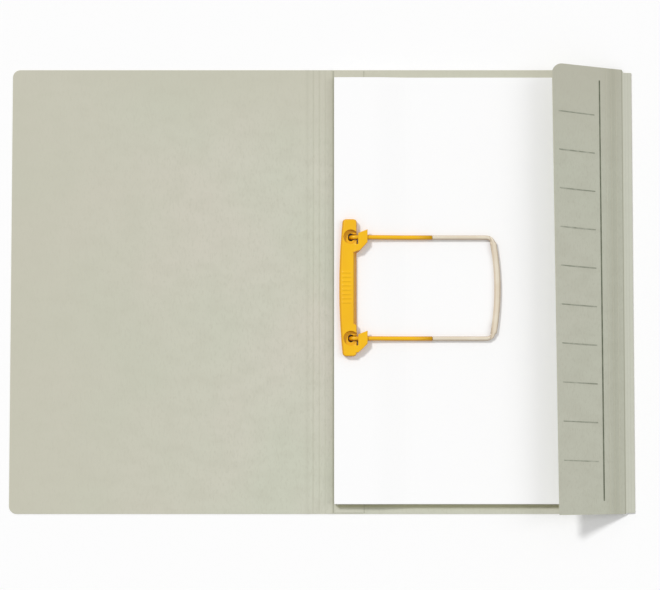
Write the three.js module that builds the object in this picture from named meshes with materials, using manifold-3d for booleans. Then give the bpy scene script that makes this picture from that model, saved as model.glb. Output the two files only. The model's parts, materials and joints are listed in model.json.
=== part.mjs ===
// A card flap folder, opened flat, with a two-hole file clip and a block of papers.
// Millimetres. +X to the right across the open folder, +Y towards its top edge, +Z up.
// The origin is on the underside, in the middle of the open folder.

import * as THREE from "three";
import { mergeVertices } from "three/addons/utils/BufferGeometryUtils.js";
import Module from "manifold-3d";

const wasm = await Module();
wasm.setup();

// Card blank
const FOLDER_HEIGHT = 353;
const FRONT_WIDTH = 235;
const BACK_WIDTH = 238.8;
const CARD = 0.5;
const CLEAR = 0.3;
const SCORE_PITCH = 4.8;
const SPINE_PITCHES = 4;
const SCORE_WIDTH = 0.9;
const SCORE_DEPTH = 0.2;
const FREE_CORNER_RADIUS = 6;

// Flap: a level strip beside the outer fold, then a panel that stands up from its crease
const STRIP_WIDTH = 7.4;
const STRIP_SLOPE = THREE.MathUtils.degToRad(6);
const PANEL_WIDTH = 64.4;
const PANEL_SLOPE = THREE.MathUtils.degToRad(27);
const FLAP_SKEW = 3.4;
const FLAP_FIRST_SCORE = 5.8;
const FLAP_SCORE_PITCH = 4.6;
const FLAP_SCORES = 3;
const NOTCH_TOP = 2.4;
const NOTCH_BOTTOM = 0.8;
const NOTCH_SLANT = 1.2;

// Papers
const PAPER_HEIGHT = 338;
const PAPER_THICKNESS = 5.5;
const PAPER_INSET = 2.2;
const PAPER_TO_FOLD = 20.6;
const PAPER_SHIFT_Y = 0.4;
const PUNCH_RADIUS = 3;
const PAPER_SAG_START = 17;
const PAPER_SAG_END = 48;

// Reinforcing strip glued beside the spine
const FASTENER_STRIP_WIDTH = 25.4;
const FASTENER_STRIP_INSET = 0.6;
const FASTENER_STRIP_MARGIN = 0.8;
const STRIP_RAMP = 4;
const STRIP_SHOULDER_X = 1.5;
const STRIP_SHOULDER_Y = 7;

// Clip base and its two hollow tubes
const CLIP_INSET = 15.2;
const CLIP_SHIFT_Y = 1.4;
const HOLE_PITCH = 80;
const BASE_LENGTH = 108;
const BASE_WIDTH = 10;
const BASE_THICKNESS = 0.8;
const TUBE_RADIUS = 1.75;
const BORE_RADIUS = 1.35;
const TUBE_RISE = 2.6;
const TUBE_BEND_RADIUS = 3.6;
const TUBE_REACH = 64.2;
const TUBE_DROP_START = 14;
const TUBE_DROP_END = 46;

// Press bar with its recesses and hooks
const BAR_LENGTH = 110.5;
const BAR_LEFT = 6.6;
const BAR_BULGE = 2.5;
const BAR_RIGHT = 4.7;
const BAR_HEIGHT = 5.5;
const BAR_WALL = 1.2;
const BAR_ROUND = 1.1;
const BAR_CORNER = 2;
const RECESS_RADIUS = 5.7;
const RECESS_FLOOR = 2;
const BAR_HOLE_RADIUS = 2.15;
const BAR_HOLE_STRETCH = 0.9;
const BAR_RIBS = 9;
const HOOK_REACH = 8.5;
const HOOK_THICKNESS = 1.2;
const HOOK_ROOT_LOW = 12.1;
const HOOK_ROOT_HIGH = 3.1;
const HOOK_TIP_LOW = 4;
const HOOK_TIP_HIGH = 6;
const HOOK_WALL = 1.9;
const HOOK_LIP = 0.9;
const GRIP_RIBS = 8;
const GRIP_RIB_WIDTH = 1;
const GRIP_RIB_LENGTH = 6.4;
const GRIP_RIB_HEIGHT = 0.35;
const GRIP_RIB_PITCH = 3.4;

// Transfer bow that plugs into the tubes
const BOW_RADIUS = 1.7;
const PLUG_RADIUS = 1.05;
const PLUG_LENGTH = 16;
const BOW_REACH = 51.6;
const BOW_CORNER = 5;
const LIMB_BOW = 3.2;
const LIMB_WIDTH = 5;
const LIMB_ROUND = 1.2;

// Fineness of the round shapes
const ROUND_SIDES = 8;
const HOLE_SIDES = 28;
const CURVE_STEPS = 8;
const OVERRUN = 1;

// Places that follow from the sizes above
const SPINE_WIDTH = SCORE_PITCH * SPINE_PITCHES;
const OPEN_WIDTH = FRONT_WIDTH + SPINE_WIDTH + BACK_WIDTH;
const LEFT_X = -OPEN_WIDTH / 2;
const FRONT_CREASE_X = LEFT_X + FRONT_WIDTH;
const BACK_CREASE_X = FRONT_CREASE_X + SPINE_WIDTH;
const RIGHT_X = BACK_CREASE_X + BACK_WIDTH;
const TOP_Y = FOLDER_HEIGHT / 2;
const CLIP_X = BACK_CREASE_X + CLIP_INSET;
const PAPER_WIDTH = BACK_WIDTH - PAPER_INSET - PAPER_TO_FOLD;
const STRIP_LIFT = BASE_THICKNESS + CLEAR;
const PAPER_LIFT = STRIP_LIFT + CARD + CLEAR;
const PAPER_TOP = PAPER_LIFT + PAPER_THICKNESS;
const TUBE_Z = PAPER_TOP + TUBE_RISE;
const BOW_Z = PAPER_THICKNESS + BOW_RADIUS + CLEAR;
const BOW_START = TUBE_REACH + CLEAR;
const LIMB_X = TUBE_REACH + BOW_REACH;
const HALF_PITCH = HOLE_PITCH / 2;

// A closed geometry as a solid that can be joined and cut
function solid(geometry) {
  const bare = geometry.clone();
  bare.deleteAttribute("normal");
  bare.deleteAttribute("uv");
  const merged = mergeVertices(bare, 1e-5);
  return new wasm.Manifold(new wasm.Mesh({
    numProp: 3,
    vertProperties: new Float32Array(merged.attributes.position.array),
    triVerts: new Uint32Array(merged.index.array),
  }));
}

// A solid back as a geometry for a mesh
function geometryOf(body) {
  const mesh = body.getMesh();
  const geometry = new THREE.BufferGeometry();
  geometry.setAttribute("position", new THREE.BufferAttribute(mesh.vertProperties, 3));
  geometry.setIndex(new THREE.BufferAttribute(mesh.triVerts, 1));
  geometry.computeVertexNormals();
  return geometry;
}

function joined(bodies) {
  return bodies.reduce((whole, body) => whole.add(body));
}

// A flat outline in X and Y, raised from one height to another
function upright(shape, low, high) {
  const depth = high - low;
  const geometry = new THREE.ExtrudeGeometry(shape, { depth, bevelEnabled: false, curveSegments: CURVE_STEPS });
  return geometry.translate(0, 0, low);
}

// A section in X and Z, drawn out along Y
function alongY(section, low, high) {
  const geometry = new THREE.ExtrudeGeometry(section, { depth: high - low, bevelEnabled: false });
  return geometry.rotateX(Math.PI / 2).translate(0, high, 0);
}

function rectangle(x0, y0, x1, y1) {
  return new THREE.Shape([
    new THREE.Vector2(x0, y0),
    new THREE.Vector2(x1, y0),
    new THREE.Vector2(x1, y1),
    new THREE.Vector2(x0, y1),
  ]);
}

// A round-ended slot along Y
function slotShape(x, y, halfStraight, radius) {
  const shape = new THREE.Shape();
  shape.absarc(x, y + halfStraight, radius, 0, Math.PI);
  shape.absarc(x, y - halfStraight, radius, Math.PI, 2 * Math.PI);
  return shape;
}

function roundPin(x, y, radius, low, high) {
  const pin = new THREE.CylinderGeometry(radius, radius, high - low, HOLE_SIDES);
  return pin.rotateX(Math.PI / 2).translate(x, y, (low + high) / 2);
}

// Section of a card that follows a path on its lower face, with grooves scored into its upper face
function cardSection(path, scores) {
  const upper = [];
  const inOrder = [...scores].sort((a, b) => a - b);
  let run = 0;
  path.forEach((point, index) => {
    const before = index > 0 ? point.clone().sub(path[index - 1]).normalize() : null;
    const after = index < path.length - 1 ? path[index + 1].clone().sub(point).normalize() : null;
    const along = (before ?? after).clone().add(after ?? before).normalize();
    const square = new THREE.Vector2(-along.y, along.x);
    const face = new THREE.Vector2(-(before ?? after).y, (before ?? after).x);
    upper.push(point.clone().addScaledVector(square, CARD / square.dot(face)));
    if (after) {
      const length = path[index + 1].distanceTo(point);
      const out = new THREE.Vector2(-after.y, after.x);
      inOrder.filter((score) => score > run && score < run + length).forEach((score) => {
        const place = (shift, height) => point.clone()
          .addScaledVector(after, score - run + shift).addScaledVector(out, height);
        upper.push(place(-SCORE_WIDTH / 2, CARD), place(0, CARD - SCORE_DEPTH), place(SCORE_WIDTH / 2, CARD));
      });
      run += length;
    }
  });
  return new THREE.Shape([...path, ...upper.reverse()]);
}

function flatCard(x0, x1, scores) {
  return alongY(cardSection([new THREE.Vector2(x0, 0), new THREE.Vector2(x1, 0)], scores), -TOP_Y, TOP_Y);
}

// What is cut away outside a round corner; out is the direction of the corner from the middle of its sheet
function cornerCut(x, y, outX, outY, radius, low, high) {
  const shape = new THREE.Shape();
  const arc = Array.from({ length: CURVE_STEPS + 1 }, (_, step) => {
    const angle = (step / CURVE_STEPS) * Math.PI / 2;
    return new THREE.Vector2(
      x - outX * radius * (1 - Math.cos(angle)),
      y - outY * radius * (1 - Math.sin(angle)),
    );
  });
  shape.setFromPoints([new THREE.Vector2(x + outX * OVERRUN, y + outY * OVERRUN),
    new THREE.Vector2(x + outX * OVERRUN, arc[0].y), ...arc, new THREE.Vector2(arc.at(-1).x, y + outY * OVERRUN)]);
  return solid(upright(shape, low, high));
}

// A centre line made of chosen stations, each with a ring of the pipe's section
class StationCurve extends THREE.Curve {
  constructor(stations) {
    super();
    this.stations = stations;
  }

  getUtoTmapping(u) {
    return u;
  }

  getPoint(t, target = new THREE.Vector3()) {
    const place = Math.min(Math.max(t, 0), 1) * (this.stations.length - 1);
    const index = Math.min(Math.floor(place), this.stations.length - 2);
    return target.lerpVectors(this.stations[index], this.stations[index + 1], place - index);
  }
}

function pipe(stations, radius) {
  const section = new THREE.Shape();
  section.absarc(0, 0, radius, 0, 2 * Math.PI);
  return new THREE.ExtrudeGeometry(section, {
    steps: stations.length - 1,
    curveSegments: ROUND_SIDES,
    extrudePath: new StationCurve(stations),
  });
}

function smooth(value) {
  const share = Math.min(Math.max(value, 0), 1);
  return share * share * (3 - 2 * share);
}

// Front cover: the left leaf, free corners rounded
function makeFrontCover() {
  const leaf = solid(flatCard(LEFT_X, FRONT_CREASE_X - CLEAR / 2, []));
  const cuts = [1, -1].map((side) => (
    cornerCut(LEFT_X, side * TOP_Y, -1, side, FREE_CORNER_RADIUS, -OVERRUN, CARD + OVERRUN)));
  return geometryOf(leaf.subtract(joined(cuts)));
}

// Spine panel: its inner score lines let it curve round a fuller stack
function makeSpinePanel() {
  const scores = Array.from({ length: SPINE_PITCHES - 1 }, (_, index) => SCORE_PITCH * (index + 1) - CLEAR / 2);
  return flatCard(FRONT_CREASE_X + CLEAR / 2, BACK_CREASE_X - CLEAR / 2, scores);
}

// The card is trimmed back beside the outer fold, a little more at the top than at the bottom
function notchCuts(edgeX, creaseX, low, high) {
  return joined([[1, NOTCH_TOP], [-1, NOTCH_BOTTOM]].map(([side, depth]) => {
    const shape = new THREE.Shape([
      new THREE.Vector2(edgeX + OVERRUN, side * (TOP_Y + OVERRUN)),
      new THREE.Vector2(creaseX, side * (TOP_Y + OVERRUN)),
      new THREE.Vector2(creaseX, side * TOP_Y),
      new THREE.Vector2(creaseX + NOTCH_SLANT, side * (TOP_Y - depth)),
      new THREE.Vector2(edgeX + OVERRUN, side * (TOP_Y - depth)),
    ]);
    return solid(upright(shape, low, high));
  }));
}

// Back cover: the right leaf, which carries everything else
function makeBackCover() {
  const leaf = solid(flatCard(BACK_CREASE_X + CLEAR / 2, RIGHT_X - CLEAR, []));
  const creaseX = RIGHT_X - STRIP_WIDTH * Math.cos(STRIP_SLOPE);
  return geometryOf(leaf.subtract(notchCuts(RIGHT_X, creaseX, -OVERRUN, CARD + OVERRUN)));
}

// Flap: one folded card, skewed a little as its crease was, free corners rounded
function makeFlap() {
  const fold = new THREE.Vector2(RIGHT_X, CARD + CLEAR);
  const crease = fold.clone().add(new THREE.Vector2(
    -STRIP_WIDTH * Math.cos(STRIP_SLOPE), STRIP_WIDTH * Math.sin(STRIP_SLOPE)));
  const free = crease.clone().add(new THREE.Vector2(
    -PANEL_WIDTH * Math.cos(PANEL_SLOPE), PANEL_WIDTH * Math.sin(PANEL_SLOPE)));
  const scores = Array.from({ length: FLAP_SCORES }, (_, index) => (
    PANEL_WIDTH - FLAP_FIRST_SCORE - index * FLAP_SCORE_PITCH));
  const geometry = alongY(cardSection([free, crease, fold], scores), -TOP_Y, TOP_Y);
  const position = geometry.attributes.position;
  const reach = fold.x - free.x;
  for (let index = 0; index < position.count; index += 1) {
    const share = (fold.x - position.getX(index)) / reach;
    position.setX(index, position.getX(index) - FLAP_SKEW * share * position.getY(index) / FOLDER_HEIGHT);
  }
  const top = free.y + OVERRUN;
  const corners = [1, -1].map((side) => (
    cornerCut(free.x - side * FLAP_SKEW / 2, side * TOP_Y, -1, side, FREE_CORNER_RADIUS, CARD, top)));
  return geometryOf(solid(geometry).subtract(joined(corners))
    .subtract(notchCuts(RIGHT_X, crease.x, 0, crease.y + OVERRUN)));
}

// Height of the reinforcing strip where it rises over the clip base
function stripLift(x, y) {
  const acrossX = smooth((BASE_WIDTH / 2 + STRIP_SHOULDER_X + STRIP_RAMP - Math.abs(x - CLIP_X)) / STRIP_RAMP);
  const acrossY = smooth((BASE_LENGTH / 2 + STRIP_SHOULDER_Y + STRIP_RAMP - Math.abs(y - CLIP_SHIFT_Y)) / STRIP_RAMP);
  return STRIP_LIFT * acrossX * acrossY;
}

// A slab whose points are all raised by a rule, so that it lies over what is under it
function draped(width, height, thickness, columns, rows, centre, lift) {
  const geometry = new THREE.BoxGeometry(width, height, thickness, columns, rows, 1);
  geometry.translate(centre.x, centre.y, CARD + thickness / 2);
  const position = geometry.attributes.position;
  for (let index = 0; index < position.count; index += 1) {
    const rise = lift(position.getX(index), position.getY(index));
    position.setZ(index, position.getZ(index) + rise);
  }
  return solid(geometry);
}

function tubePlaces() {
  return [1, -1].map((side) => CLIP_SHIFT_Y + side * HALF_PITCH);
}

// Reinforcing strip with the two holes that the tubes come up through
function makeFastenerStrip() {
  const columns = 12;
  const rows = 56;
  const height = FOLDER_HEIGHT - 2 * FASTENER_STRIP_MARGIN;
  const centre = new THREE.Vector2(BACK_CREASE_X + FASTENER_STRIP_INSET + FASTENER_STRIP_WIDTH / 2, 0);
  const strip = draped(FASTENER_STRIP_WIDTH, height, CARD, columns, rows, centre, stripLift);
  const holes = tubePlaces().map((y) => (
    solid(roundPin(CLIP_X, y, TUBE_RADIUS + CLEAR, 0, CARD + PAPER_TOP))));
  return geometryOf(strip.subtract(joined(holes)));
}

// Papers: one block of sheets, raised beside the spine by the clip and the strip
function makePaperStack() {
  const columns = 42;
  const centre = new THREE.Vector2(BACK_CREASE_X + PAPER_INSET + PAPER_WIDTH / 2, PAPER_SHIFT_Y);
  const lift = (x) => {
    const share = (x - CLIP_X - PAPER_SAG_START) / (PAPER_SAG_END - PAPER_SAG_START);
    return PAPER_LIFT * (1 - smooth(share));
  };
  const block = draped(PAPER_WIDTH, PAPER_HEIGHT, PAPER_THICKNESS, columns, 1, centre, lift);
  const holes = tubePlaces().map((y) => (
    solid(roundPin(CLIP_X, y, PUNCH_RADIUS, 0, CARD + PAPER_TOP + OVERRUN))));
  return geometryOf(block.subtract(joined(holes)));
}

// Centre line of one tube: up through the papers, over, and down onto them again
function tubeRoute(y, start, bend) {
  const stations = [new THREE.Vector3(0, y, start)];
  for (let step = 0; step <= CURVE_STEPS; step += 1) {
    const angle = (step / CURVE_STEPS) * Math.PI / 2;
    stations.push(new THREE.Vector3(bend * (1 - Math.cos(angle)), y, TUBE_Z - bend * (1 - Math.sin(angle))));
  }
  for (let step = 0; step <= CURVE_STEPS; step += 1) {
    const share = step / CURVE_STEPS;
    const x = TUBE_DROP_START + share * (TUBE_DROP_END - TUBE_DROP_START);
    stations.push(new THREE.Vector3(x, y, THREE.MathUtils.lerp(TUBE_Z, BOW_Z, smooth(share))));
  }
  stations.push(new THREE.Vector3(TUBE_REACH, y, BOW_Z));
  return stations;
}

// Clip base: a flat strip and two hollow tubes, moulded as one piece
function makeClipBase() {
  const plate = solid(upright(
    slotShape(0, 0, (BASE_LENGTH - BASE_WIDTH) / 2, BASE_WIDTH / 2), 0, BASE_THICKNESS));
  const tubes = [1, -1].map((side) => solid(pipe(
    tubeRoute(side * HALF_PITCH, BASE_THICKNESS / 2, TUBE_BEND_RADIUS), TUBE_RADIUS)));
  const bores = [1, -1].map((side) => {
    const route = tubeRoute(side * HALF_PITCH, BASE_THICKNESS + CLEAR, TUBE_BEND_RADIUS);
    route.at(-1).x += OVERRUN;
    return solid(pipe(route, BORE_RADIUS));
  });
  return geometryOf(joined([plate, ...tubes]).subtract(joined(bores)));
}

// Outline of the press bar: straight on the right, bulging on the left, drawn in by inset
function barOutline(inset) {
  const end = BAR_LENGTH / 2 - inset;
  const left = -BAR_LEFT + inset;
  const right = BAR_RIGHT - inset;
  const corner = BAR_CORNER;
  const shape = new THREE.Shape();
  shape.moveTo(right, -end + corner);
  shape.lineTo(right, end - corner);
  shape.quadraticCurveTo(right, end, right - corner, end);
  shape.lineTo(left + corner, end);
  shape.quadraticCurveTo(left, end, left, end - corner);
  shape.quadraticCurveTo(left - 2 * BAR_BULGE, 0, left, -end + corner);
  shape.quadraticCurveTo(left, -end, left + corner, -end);
  shape.lineTo(right - corner, -end);
  shape.quadraticCurveTo(right, -end, right, -end + corner);
  return shape;
}

// One hook beside a tube: a roof over the tube, a wall on its lower side and a lip on its open side
function makeHook(y) {
  const root = BAR_RIGHT - BAR_ROUND;
  const near = BAR_RIGHT + BAR_ROUND;
  const tip = BAR_RIGHT + HOOK_REACH;
  const under = TUBE_Z + TUBE_RADIUS + CLEAR;
  const point = (x, dy) => new THREE.Vector2(x, y + dy);
  const roof = new THREE.Shape([
    point(root, -HOOK_ROOT_LOW),
    point(near, -HOOK_ROOT_LOW),
    point(tip, -HOOK_TIP_LOW),
    point(tip, HOOK_TIP_HIGH),
    point(near, HOOK_ROOT_HIGH),
    point(near, -RECESS_RADIUS),
    point(root, -RECESS_RADIUS),
  ]);
  const wall = new THREE.Shape([
    point(root, -HOOK_ROOT_LOW),
    point(near, -HOOK_ROOT_LOW),
    point(tip, -HOOK_TIP_LOW),
    point(tip, -HOOK_TIP_LOW + HOOK_WALL),
    point(near, -HOOK_ROOT_LOW + HOOK_WALL),
    point(root, -HOOK_ROOT_LOW + HOOK_WALL),
  ]);
  const lip = new THREE.Shape([
    point(near, HOOK_ROOT_HIGH - HOOK_LIP),
    point(tip, HOOK_TIP_HIGH - HOOK_LIP),
    point(tip, HOOK_TIP_HIGH),
    point(near, HOOK_ROOT_HIGH),
  ]);
  return joined([
    solid(upright(roof, under, under + HOOK_THICKNESS)),
    solid(upright(wall, PAPER_TOP + CLEAR, under + HOOK_THICKNESS / 2)),
    solid(upright(lip, under - HOOK_LIP / 2, under + HOOK_THICKNESS / 2)),
  ]);
}

// Press bar: a hollow moulding with cross ribs, two recesses for the tubes, two hooks and grip ribs
function makePressBar() {
  const barTop = PAPER_TOP + BAR_HEIGHT;
  const body = solid(new THREE.ExtrudeGeometry(barOutline(BAR_ROUND), {
    depth: BAR_HEIGHT,
    bevelThickness: BAR_ROUND,
    bevelSize: BAR_ROUND,
    bevelSegments: 3,
    curveSegments: 2 * CURVE_STEPS,
  }).translate(0, 0, PAPER_TOP - BAR_ROUND));
  const far = BAR_LENGTH;
  const below = solid(upright(rectangle(-far, -far, far, far), PAPER_TOP - 2 * BAR_ROUND - OVERRUN, PAPER_TOP));
  const hollow = solid(upright(barOutline(BAR_WALL), PAPER_TOP - OVERRUN, barTop - BAR_WALL));
  const ribs = Array.from({ length: BAR_RIBS }, (_, index) => {
    const y = (index - (BAR_RIBS - 1) / 2) * BAR_LENGTH / (BAR_RIBS + 1);
    return solid(upright(rectangle(-far, y - BAR_WALL / 2, far, y + BAR_WALL / 2), PAPER_TOP - OVERRUN, barTop));
  });
  const bosses = [1, -1].map((side) => (
    solid(roundPin(0, side * HALF_PITCH, RECESS_RADIUS + BAR_WALL, PAPER_TOP - 2 * OVERRUN, barTop))));
  const recesses = [1, -1].map((side) => {
    const y = side * HALF_PITCH;
    const pocket = solid(roundPin(0, y, RECESS_RADIUS, PAPER_TOP + RECESS_FLOOR, barTop + OVERRUN));
    const hole = solid(upright(
      slotShape(0, y, BAR_HOLE_STRETCH, BAR_HOLE_RADIUS), PAPER_TOP - OVERRUN, barTop + OVERRUN));
    const channel = solid(upright(
      rectangle(0, y - BAR_HOLE_RADIUS, BAR_RIGHT + OVERRUN, y + BAR_HOLE_RADIUS),
      PAPER_TOP - OVERRUN, PAPER_TOP + RECESS_FLOOR + OVERRUN));
    return joined([pocket, hole, channel]);
  });
  const grips = Array.from({ length: GRIP_RIBS }, (_, index) => {
    const y = (index - (GRIP_RIBS - 1) / 2) * GRIP_RIB_PITCH;
    const shape = rectangle(-GRIP_RIB_LENGTH, y - GRIP_RIB_WIDTH / 2, 0, y + GRIP_RIB_WIDTH / 2);
    return solid(upright(shape, barTop - BAR_WALL / 2, barTop + GRIP_RIB_HEIGHT));
  });
  const shell = body.subtract(below).subtract(hollow.subtract(joined([...ribs, ...bosses])));
  const hooks = [1, -1].map((side) => makeHook(side * HALF_PITCH));
  return geometryOf(joined([shell.subtract(joined(recesses)), ...hooks, ...grips]));
}

// Transfer bow: two legs with thinner plugs, round corners and a wide limb that bows outwards
function makeTransferBow() {
  const innerY = HALF_PITCH - BOW_CORNER;
  const limbEndX = LIMB_X - LIMB_BOW;
  const cornerX = limbEndX - 2 * LIMB_BOW * BOW_CORNER / innerY;
  const at = (x, y) => new THREE.Vector3(x, y, BOW_Z);
  const corner = (side) => new THREE.QuadraticBezierCurve3(
    at(cornerX - BOW_CORNER, side * HALF_PITCH), at(cornerX, side * HALF_PITCH), at(limbEndX, side * innerY));
  const limb = new THREE.QuadraticBezierCurve3(
    at(limbEndX, innerY), at(limbEndX + 2 * LIMB_BOW, 0), at(limbEndX, -innerY));
  const stations = [
    at(BOW_START, HALF_PITCH),
    ...corner(1).getPoints(CURVE_STEPS),
    ...limb.getPoints(2 * CURVE_STEPS).slice(1, -1),
    ...corner(-1).getPoints(CURVE_STEPS).reverse(),
    at(BOW_START, -HALF_PITCH),
  ];
  const half = LIMB_WIDTH / 2 - LIMB_ROUND;
  const band = new THREE.Shape();
  band.moveTo(limbEndX + half, -innerY);
  band.quadraticCurveTo(limbEndX + 2 * LIMB_BOW + half, 0, limbEndX + half, innerY);
  band.lineTo(limbEndX - half, innerY);
  band.quadraticCurveTo(limbEndX + 2 * LIMB_BOW - half, 0, limbEndX - half, -innerY);
  const plate = solid(new THREE.ExtrudeGeometry(band, {
    depth: 2 * (BOW_RADIUS - LIMB_ROUND),
    bevelThickness: LIMB_ROUND,
    bevelSize: LIMB_ROUND,
    bevelSegments: 3,
    curveSegments: 2 * CURVE_STEPS,
  }).translate(0, 0, BOW_Z - BOW_RADIUS + LIMB_ROUND));
  const plugs = [1, -1].map((side) => solid(pipe([
    at(TUBE_REACH - PLUG_LENGTH, side * HALF_PITCH),
    at(BOW_START + BOW_CORNER, side * HALF_PITCH),
  ], PLUG_RADIUS)));
  return geometryOf(joined([solid(pipe(stations, BOW_RADIUS)), plate, ...plugs]));
}

const card = { color: 0xc8c9b9, roughness: 0.85, metalness: 0 };
const yellowPlastic = { color: 0xeeb71f, roughness: 0.35, metalness: 0 };
const ivoryPlastic = { color: 0xd9caa8, roughness: 0.4, metalness: 0 };
const whitePaper = { color: 0xffffff, roughness: 0.9, metalness: 0 };

function piece(name, geometry, look) {
  const mesh = new THREE.Mesh(geometry, new THREE.MeshStandardMaterial(look));
  mesh.name = name;
  return mesh;
}

// The clip stands in a frame of its own: middle of its tubes, upper face of the back cover
const clip = new THREE.Group();
clip.position.set(CLIP_X, CLIP_SHIFT_Y, CARD);
clip.add(
  piece("clip_base", makeClipBase(), yellowPlastic),
  piece("press_bar", makePressBar(), yellowPlastic),
  piece("transfer_bow", makeTransferBow(), ivoryPlastic),
);

const folder = new THREE.Group();
folder.add(
  piece("front_cover", makeFrontCover(), card),
  piece("spine_panel", makeSpinePanel(), card),
  piece("back_cover", makeBackCover(), card),
  piece("flap", makeFlap(), card),
  piece("fastener_strip", makeFastenerStrip(), card),
  piece("paper_stack", makePaperStack(), whitePaper),
  clip,
);

export default folder;
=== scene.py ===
# %% [markdown]
# # A card flap folder with a two-hole clip
# The folder lies open. Its card was creased from one blank, a yellow clip holds a block of white
# sheets, and an ivory bow plugs into the clip's tubes. The packed model gives every size and place;
# this file gives the surfaces, the creases, the sheet edges and the printed ruling.

# %% Load the frame
import bmesh
import bpy
import json
import math
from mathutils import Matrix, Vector


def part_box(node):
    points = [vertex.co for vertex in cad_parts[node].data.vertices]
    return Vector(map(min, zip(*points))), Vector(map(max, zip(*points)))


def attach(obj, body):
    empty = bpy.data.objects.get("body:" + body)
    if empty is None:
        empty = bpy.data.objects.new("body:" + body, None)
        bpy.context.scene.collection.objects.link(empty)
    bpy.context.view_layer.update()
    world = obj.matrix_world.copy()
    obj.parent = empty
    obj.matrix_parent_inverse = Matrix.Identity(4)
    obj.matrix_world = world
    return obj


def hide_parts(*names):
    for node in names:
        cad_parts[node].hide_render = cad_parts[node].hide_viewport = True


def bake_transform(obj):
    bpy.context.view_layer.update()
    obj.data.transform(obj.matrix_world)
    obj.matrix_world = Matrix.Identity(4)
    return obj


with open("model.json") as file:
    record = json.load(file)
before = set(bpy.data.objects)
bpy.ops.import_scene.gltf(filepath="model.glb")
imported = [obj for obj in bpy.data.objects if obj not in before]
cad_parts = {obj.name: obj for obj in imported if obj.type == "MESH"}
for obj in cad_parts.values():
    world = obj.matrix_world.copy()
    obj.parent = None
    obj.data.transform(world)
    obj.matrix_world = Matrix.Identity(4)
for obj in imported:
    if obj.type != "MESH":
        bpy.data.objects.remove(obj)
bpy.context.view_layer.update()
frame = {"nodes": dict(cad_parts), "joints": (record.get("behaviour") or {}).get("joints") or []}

MM = 0.001
scene = bpy.context.scene

# %% [markdown]
# ## Where things are
# A folder's places follow from a few edges of its card: the two spine creases, the outer fold and the
# crease of the flap. They could be typed in again, but then a new size would have to be changed twice.
# They are read off the packed pieces' boxes and joints instead. Only the score lines are new.

# %% Places read from the frame
front_low, front_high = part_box("front_cover")
back_low, back_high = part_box("back_cover")
flap_low, flap_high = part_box("flap")
paper_low, paper_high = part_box("paper_stack")
bar_low, bar_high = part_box("press_bar")
bow_low, bow_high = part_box("transfer_bow")
base_low, base_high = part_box("clip_base")
joint_at = {joint["name"]: Vector(joint.get("pos_m", (0, 0, 0))) for joint in frame["joints"]}
FRONT_CREASE = joint_at["cover_fold"].x
BACK_CREASE = joint_at["spine_fold"].x
OUTER_FOLD = joint_at["flap_fold"].x
CARD = back_high.z
HALF_HEIGHT = back_high.y
CLIP_Y = (bow_low.y + bow_high.y) / 2
SCORE_PITCH = 4.8 * MM
# Each score line: its place in X, half its width, and how dark its painted shade is.
SCORE_SHADES = [
    (FRONT_CREASE, 3.2 * MM, 0.14),
    (FRONT_CREASE + SCORE_PITCH, 1.2 * MM, 0.2),
    (FRONT_CREASE + 2 * SCORE_PITCH, 1.2 * MM, 0.18),
    (FRONT_CREASE + 3 * SCORE_PITCH, 1.0 * MM, 0.08),
    (BACK_CREASE, 1.0 * MM, 0.08),
]
print("creases", round(FRONT_CREASE, 4), round(BACK_CREASE, 4), round(OUTER_FOLD, 4))
print("middle of the clip", round(CLIP_Y, 4))

# %% [markdown]
# ## Camera
# The photograph looks almost straight down from a little below the folder's lower edge: the raised edge
# of the flap moves up the picture at its top end and stays put at its lower end. A long lens keeps the
# folder's own outline almost square, and a small shift does the rest of the framing.

# %% Camera
CAMERA_PLACE = Vector((0.0065, -0.1299, 1.5))
CAMERA_TARGET = Vector((0.0065, -0.0461, 0.0))
CAMERA_LENS = 103.46
CAMERA_SHIFT = 0.0813
camera_data = bpy.data.cameras.new("camera")
camera_data.lens = CAMERA_LENS
camera_data.sensor_fit = "HORIZONTAL"
camera_data.sensor_width = 36.0
camera_data.shift_y = CAMERA_SHIFT
camera_data.clip_end = 20.0
camera = bpy.data.objects.new("camera", camera_data)
camera.location = CAMERA_PLACE
camera.rotation_mode = "QUATERNION"
camera.rotation_quaternion = (CAMERA_TARGET - CAMERA_PLACE).to_track_quat("-Z", "Y")
scene.collection.objects.link(camera)
scene.camera = camera
print("camera", [round(value, 3) for value in CAMERA_PLACE], "lens", CAMERA_LENS)

# %% [markdown]
# ## Light
# Soft daylight from all round gives the paper its gentle darkening under the flap. A small sun at
# the upper left adds the soft shadow on the lower side of the papers, and a wide one at the right adds
# the shade beside the flap. Area lamps would leave the far floor grey, and suns light it evenly. Together
# they show a level surface's colour about as written. What looks at the world, straight or in a
# reflection, sees plain white.

# %% Light
AMBIENT = 0.50
KEY_SHARE = 0.37
KEY_SOFTNESS = 9.0
KEY_TOWARDS = Vector((-0.92, 0.92, 1.45))
WINDOW_SHARE = 0.13
WINDOW_SOFTNESS = 38.0
WINDOW_TOWARDS = Vector((1.5, 0.2, 1.7))
scene.view_settings.view_transform = "Standard"
world = bpy.data.worlds.new("daylight")
world.use_nodes = True
sky = world.node_tree.nodes["Background"]
sky.inputs["Color"].default_value = (1.0, 1.0, 1.0, 1.0)
rays = world.node_tree.nodes.new("ShaderNodeLightPath")
seen = rays.outputs["Is Camera Ray"]
for other in ("Is Glossy Ray", "Is Transmission Ray"):
    either = world.node_tree.nodes.new("ShaderNodeMath")
    either.operation = "MAXIMUM"
    world.node_tree.links.new(seen, either.inputs[0])
    world.node_tree.links.new(rays.outputs[other], either.inputs[1])
    seen = either.outputs[0]
level = world.node_tree.nodes.new("ShaderNodeMapRange")
level.inputs["To Min"].default_value = AMBIENT
level.inputs["To Max"].default_value = 1.0
world.node_tree.links.new(seen, level.inputs["Value"])
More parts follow.
